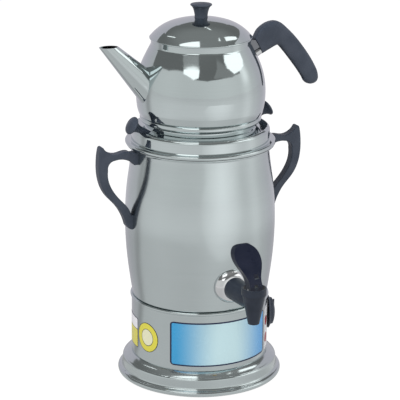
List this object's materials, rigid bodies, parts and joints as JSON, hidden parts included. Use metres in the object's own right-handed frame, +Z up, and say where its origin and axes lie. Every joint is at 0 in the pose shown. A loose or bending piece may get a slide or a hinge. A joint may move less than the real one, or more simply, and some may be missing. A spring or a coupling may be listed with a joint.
{
  "type": "electric tea samovar",
  "caption": "Stainless electric tea boiler with a barrel tank on a round base, lever tap, side handles, thermostat knob and a teapot that sits on its lid.",
  "frame": {"origin": "centre of the rubber foot ring's underside, on the surface the samovar stands on", "axes": "+Z up along the axis of the tank; -Y towards the tap; the spout points to -X"},
  "size_m": [0.3703, 0.3359, 0.585],
  "materials": {
    "polished_steel": "polished",
    "chrome_plate": "polished",
    "fastener_steel": "satin",
    "element_steel": "matte",
    "brass": "satin",
    "dark_plastic": "satin",
    "pale_plastic": "satin",
    "rubber": "matte",
    "silicone": "matte",
    "print_blue": "gloss",
    "print_yellow": "gloss",
    "print_white": "gloss"
  },
  "bodies": {
    "samovar": {"foot_ring": "polished_steel", "foot_pad": "rubber", "bottom_plate": "polished_steel", "plate_screws": "fastener_steel", "plate_nuts": "fastener_steel", "base_housing": "polished_steel", "cord_grommet": "dark_plastic", "front_label": "print_blue", "control_label": "print_white", "round_sticker": "print_yellow", "side_sticker": "print_white", "thermostat_body": "pale_plastic", "thermostat_nut": "fastener_steel", "thermostat_bulb": "brass", "bulb_clip": "fastener_steel", "thermal_cutout": "pale_plastic", "terminal_block": "pale_plastic", "earth_stud": "brass", "tie_rod": "fastener_steel", "tie_nut": "fastener_steel", "tank": "polished_steel", "heating_element": "element_steel", "element_gaskets": "silicone", "element_nuts": "brass", "handle_left": "dark_plastic", "handle_right": "dark_plastic", "handle_screws": "fastener_steel", "handle_washers": "silicone", "tap_rosette": "chrome_plate", "tap_shank": "brass", "tap_washer": "silicone", "tap_nut": "brass", "tap_body": "dark_plastic", "tap_bonnet": "dark_plastic"},
    "thermostat": {"thermostat_spindle": "brass", "thermostat_knob": "dark_plastic"},
    "tap_handle": {"tap_lever": "dark_plastic", "lever_pin": "fastener_steel"},
    "valve": {"valve_stem": "dark_plastic", "seat_cup": "silicone", "valve_spring": "fastener_steel"},
    "tank_cover": {"boiler_lid": "polished_steel", "lid_knob_left": "dark_plastic", "lid_knob_right": "dark_plastic", "lid_knob_screws": "fastener_steel"},
    "teapot": {"teapot_body": "polished_steel", "teapot_spout": "polished_steel", "teapot_handle": "dark_plastic", "handle_stud": "fastener_steel", "handle_ferrule": "chrome_plate", "handle_bracket": "polished_steel"},
    "teapot_cover": {"teapot_lid": "polished_steel", "teapot_lid_knob": "dark_plastic", "teapot_knob_screw": "fastener_steel"}
  },
  "joints": [
    {"name": "tank_cover_lift", "type": "slide", "parent": "samovar", "child": "tank_cover", "axis": [0, 0, 1], "range_m": [0, 0.12]},
    {"name": "teapot_lift", "type": "slide", "parent": "tank_cover", "child": "teapot", "axis": [0, 0, 1], "range_m": [0, 0.15]},
    {"name": "teapot_cover_lift", "type": "slide", "parent": "teapot", "child": "teapot_cover", "axis": [0, 0, 1], "range_m": [0, 0.1]},
    {"name": "thermostat_turn", "type": "hinge", "parent": "samovar", "child": "thermostat", "pos_m": [0.10081, -0.03276, 0.092], "axis": [0.9511, -0.309, 0], "range_deg": [0, 270]},
    {"name": "tap_pull", "type": "hinge", "parent": "samovar", "child": "tap_handle", "pos_m": [0, -0.1975, 0.1893], "axis": [1, 0, 0], "range_deg": [0, 35], "stiffness_Nm_per_rad": 0.3, "springref_deg": -28.65},
    {"name": "valve_lift", "type": "slide", "parent": "samovar", "child": "valve", "axis": [0, 0, 1], "range_m": [0, 0.0042], "deforming": ["valve_spring"]}
  ],
  "couplings": [
    {"joint": "valve_lift", "follows": "tap_pull", "m_per_rad": 0.00642}
  ]
}
